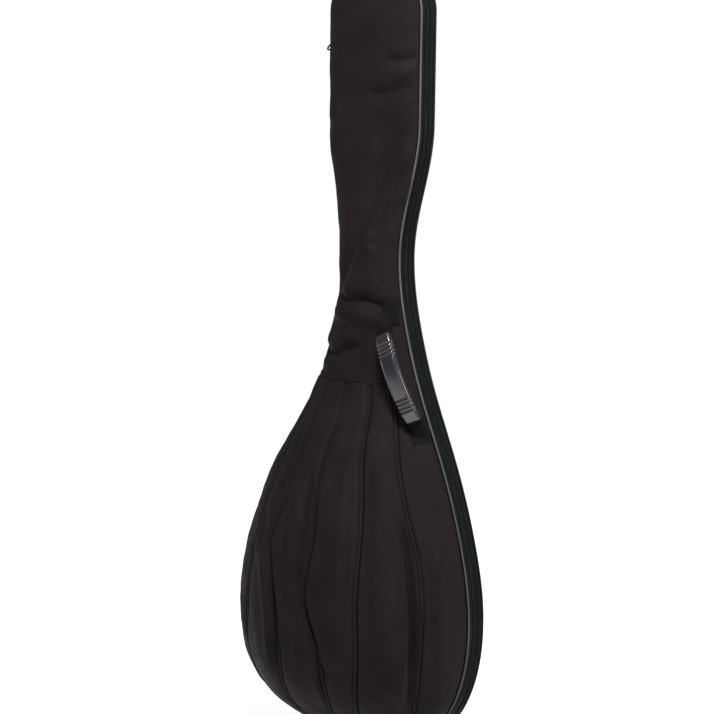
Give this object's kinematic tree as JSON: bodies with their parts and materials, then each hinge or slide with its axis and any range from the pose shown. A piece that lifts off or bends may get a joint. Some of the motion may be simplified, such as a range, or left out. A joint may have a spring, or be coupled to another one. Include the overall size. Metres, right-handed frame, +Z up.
{
  "type": "padded gig bag for a lute guitar",
  "caption": "Padded soft bag for a lute guitar: ribbed bowl, one-piece neck and head panel, piped side wall, zipped flat lid and a carry handle on the flank.",
  "frame": {"origin": "centre of the bounding box in X and Y at the lowest point of the tail", "axes": "+Z up along the bag from tail to head, +X to the right for someone facing the ribbed back, -Y toward the ribbed back and +Y toward the flat lid"},
  "size_m": [0.3792, 0.2087, 1.0751],
  "materials": {
    "nylon_back": "matte woven nylon",
    "nylon_side": "matte woven nylon",
    "lid_nylon": "matte woven nylon",
    "lining_cloth": "smooth lining cloth",
    "foam_padding": "open foam",
    "piping_cord": "grey satin cord cover",
    "zip_tape": "woven tape",
    "zip_coil": "satin",
    "handle_rubber": "semi-gloss moulded",
    "webbing": "woven webbing",
    "patch_vinyl": "grained vinyl",
    "slider_metal": "black nickel",
    "pull_rubber": "moulded"
  },
  "bodies": {
    "shell": {"bowl_gore_1": "nylon_back", "bowl_gore_2": "nylon_back", "bowl_gore_3": "nylon_back", "bowl_gore_4": "nylon_back", "bowl_gore_5": "nylon_back", "bowl_gore_6": "nylon_back", "bowl_gore_7": "nylon_back", "neck_panel": "nylon_back", "joint_band": "nylon_back", "bowl_lining": "lining_cloth", "neck_lining": "lining_cloth", "rear_piping": "piping_cord", "rear_zip_band": "nylon_side", "rear_zip_tape": "zip_tape", "rear_zip_coil": "zip_coil", "rear_hinge_strip": "nylon_side", "upper_anchor_patch": "patch_vinyl", "lower_anchor_patch": "patch_vinyl"},
    "lid": {"lid_cloth": "lid_nylon", "lid_foam": "foam_padding", "lid_lining": "lining_cloth", "front_piping": "piping_cord", "front_zip_band": "nylon_side", "front_zip_tape": "zip_tape", "front_zip_coil": "zip_coil", "front_hinge_strip": "nylon_side"},
    "handle": {"handle_grip": "handle_rubber", "webbing_end_upper": "webbing", "webbing_end_lower": "webbing"},
    "slider_upper": {"slider_upper": "slider_metal"},
    "slider_lower": {"slider_lower": "slider_metal"},
    "pull_upper": {"pull_upper": "pull_rubber"},
    "pull_lower": {"pull_lower": "pull_rubber"}
  },
  "joints": [
    {"name": "lid_swing", "type": "hinge", "parent": "shell", "child": "lid", "pos_m": [-0.1905, 0.08395, 0.185], "axis": [0, 0, 1], "range_deg": [0, 170]},
    {"name": "handle_swing", "type": "hinge", "parent": "shell", "child": "handle", "pos_m": [0.05, 0.03555, 0.592], "axis": [-0.4117, -0.0532, 0.9097], "range_deg": [0, 95]},
    {"name": "slider_upper_run", "type": "slide", "parent": "shell", "child": "slider_upper", "axis": [0, 0, 1], "range_m": [0, 0.02]},
    {"name": "slider_lower_run", "type": "slide", "parent": "shell", "child": "slider_lower", "axis": [0, 0, -1], "range_m": [0, 0.1]},
    {"name": "pull_upper_swing", "type": "hinge", "parent": "slider_upper", "child": "pull_upper", "pos_m": [-0.08415, 0.08395, 0.985], "axis": [0, 1, 0], "range_deg": [0, 108]},
    {"name": "pull_lower_swing", "type": "hinge", "parent": "slider_lower", "child": "pull_lower", "pos_m": [-0.08415, 0.08395, 0.973], "axis": [0, 1, 0], "range_deg": [0, 40]}
  ]
}
